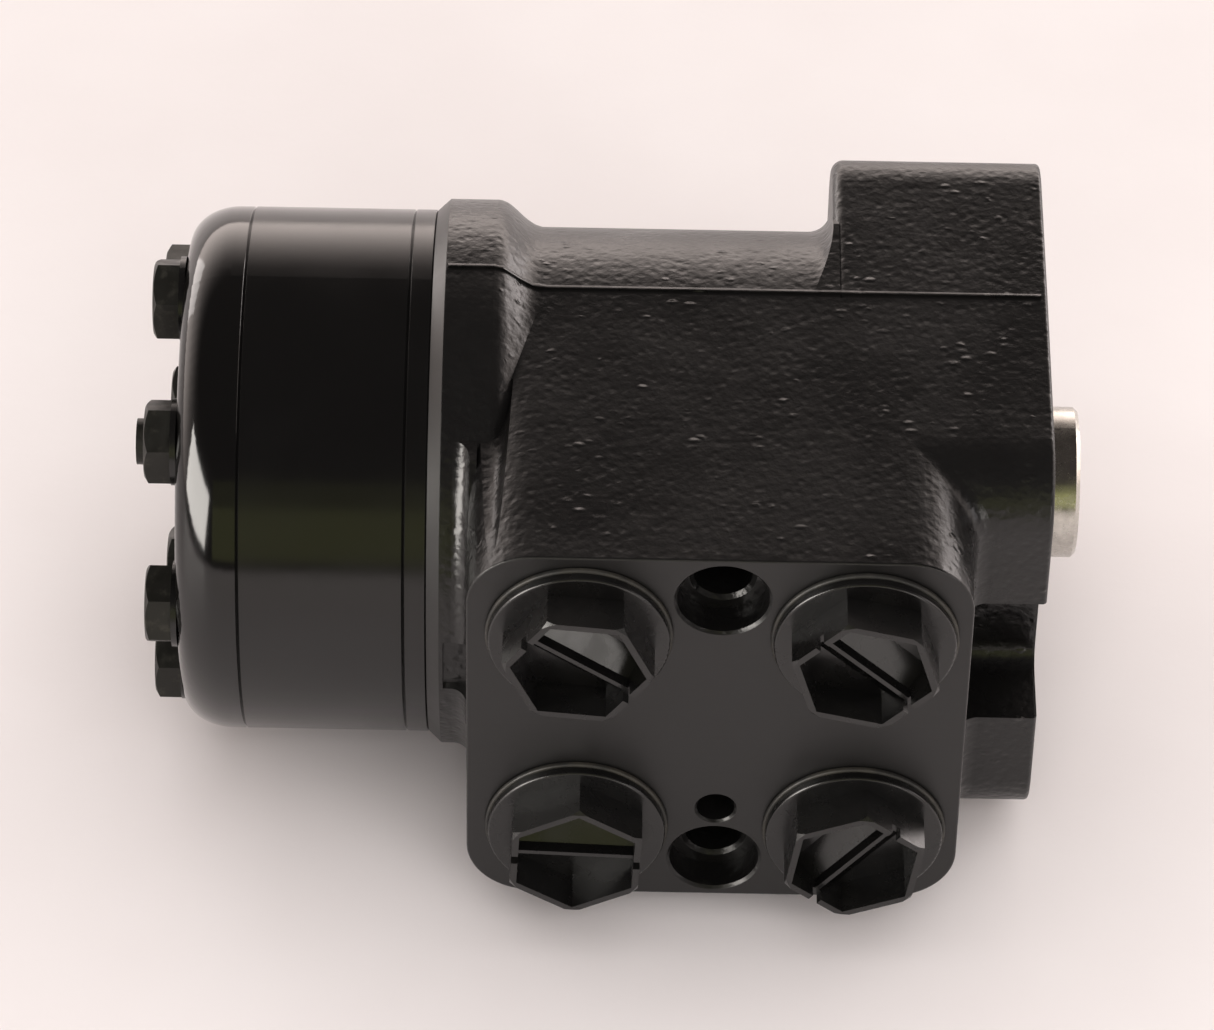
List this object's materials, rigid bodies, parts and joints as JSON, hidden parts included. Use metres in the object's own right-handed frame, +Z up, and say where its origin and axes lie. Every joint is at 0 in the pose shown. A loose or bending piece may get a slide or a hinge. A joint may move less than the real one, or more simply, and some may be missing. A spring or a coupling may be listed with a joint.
{
  "type": "hydrostatic steering unit",
  "caption": "Hydraulic rotary steering valve with an orbital gerotor metering motor, ported side block, splined input neck and screwed end cover.",
  "frame": {"origin": "middle of the front mounting face, on the motor axis", "axes": "+X along the motor axis, out of the mounting face towards the input neck; -Y out of the port face; +Z up, out of the cast side face"},
  "size_m": [0.1646, 0.1203, 0.0976],
  "materials": {
    "housing_paint": "semi-gloss black paint over rough cast iron",
    "plate_paint": "gloss black paint",
    "ring_paint": "gloss black paint over turned steel",
    "cover_paint": "high-gloss black paint",
    "screw_steel": "black-oiled phosphate, satin",
    "washer_steel": "black, satin",
    "seal_rubber": "matte",
    "plug_plastic": "moulded black polymer, semi-gloss",
    "plug_seal_rubber": "satin",
    "bearing_steel": "ground",
    "cage_brass": "satin",
    "valve_steel": "ground and hardened",
    "neck_steel": "bright turned",
    "spring_steel": "blued",
    "rotor_steel": "ground"
  },
  "bodies": {
    "housing_body": {"housing": "housing_paint", "distributor_plate": "plate_paint", "gear_ring": "ring_paint", "end_cover": "cover_paint", "cover_screws": "screw_steel", "special_screw": "screw_steel", "cover_washers": "washer_steel", "face_seals": "seal_rubber", "port_plugs": "plug_plastic", "plug_seals": "plug_seal_rubber", "dust_seal": "seal_rubber", "shaft_seal": "seal_rubber", "thrust_race_front": "bearing_steel", "relief_plug": "screw_steel", "relief_screw": "screw_steel", "relief_seat": "bearing_steel", "relief_spring": "spring_steel", "thread_bushing": "valve_steel"},
    "sleeve_body": {"sleeve": "valve_steel", "cross_pin": "bearing_steel", "leaf_springs": "spring_steel", "spring_ring": "spring_steel", "thrust_race_rear": "bearing_steel"},
    "spool_body": {"spool": "neck_steel"},
    "roller_body": {"thrust_rollers": "bearing_steel", "thrust_cage": "cage_brass"},
    "orbit_body": {"rotor_spacer": "valve_steel"},
    "rotor_body": {"rotor": "rotor_steel"},
    "cardan_body": {"cardan_shaft": "valve_steel"},
    "relief_cone_body": {"relief_cone": "bearing_steel"},
    "check_ball_body": {"check_ball": "bearing_steel"}
  },
  "joints": [
    {"name": "sleeve_spin", "type": "hinge", "parent": "housing_body", "child": "sleeve_body", "pos_m": [0, 0, 0], "axis": [1, 0, 0], "continuous": true},
    {"name": "spool_twist", "type": "hinge", "parent": "sleeve_body", "child": "spool_body", "pos_m": [0, 0, 0], "axis": [1, 0, 0], "range_deg": [-8, 8], "stiffness_Nm_per_rad": 5, "deforming": ["leaf_springs"]},
    {"name": "roller_spin", "type": "hinge", "parent": "housing_body", "child": "roller_body", "pos_m": [0, 0, 0], "axis": [1, 0, 0], "continuous": true},
    {"name": "rotor_orbit", "type": "hinge", "parent": "housing_body", "child": "orbit_body", "pos_m": [0, 0, 0], "axis": [1, 0, 0], "continuous": true},
    {"name": "rotor_spin", "type": "hinge", "parent": "orbit_body", "child": "rotor_body", "pos_m": [-0.12485, 0, 0.0036], "axis": [1, 0, 0], "continuous": true},
    {"name": "cardan_spin", "type": "hinge", "parent": "orbit_body", "child": "cardan_body", "pos_m": [-0.084, 0, 0], "axis": [0.9961, 0, -0.0878], "continuous": true},
    {"name": "relief_lift", "type": "slide", "parent": "housing_body", "child": "relief_cone_body", "axis": [-1, 0, 0], "range_m": [0, 0.0015], "stiffness_N_per_m": 12000, "springref_m": -0.004, "deforming": ["relief_spring"]},
    {"name": "check_ball_lift", "type": "slide", "parent": "housing_body", "child": "check_ball_body", "axis": [-1, 0, 0], "range_m": [0, 0.002]}
  ],
  "couplings": [
    {"joint": "roller_spin", "follows": "sleeve_spin", "ratio": 0.5},
    {"joint": "rotor_orbit", "follows": "sleeve_spin", "ratio": -6},
    {"joint": "rotor_spin", "follows": "sleeve_spin", "ratio": 7},
    {"joint": "cardan_spin", "follows": "sleeve_spin", "ratio": 7}
  ]
}
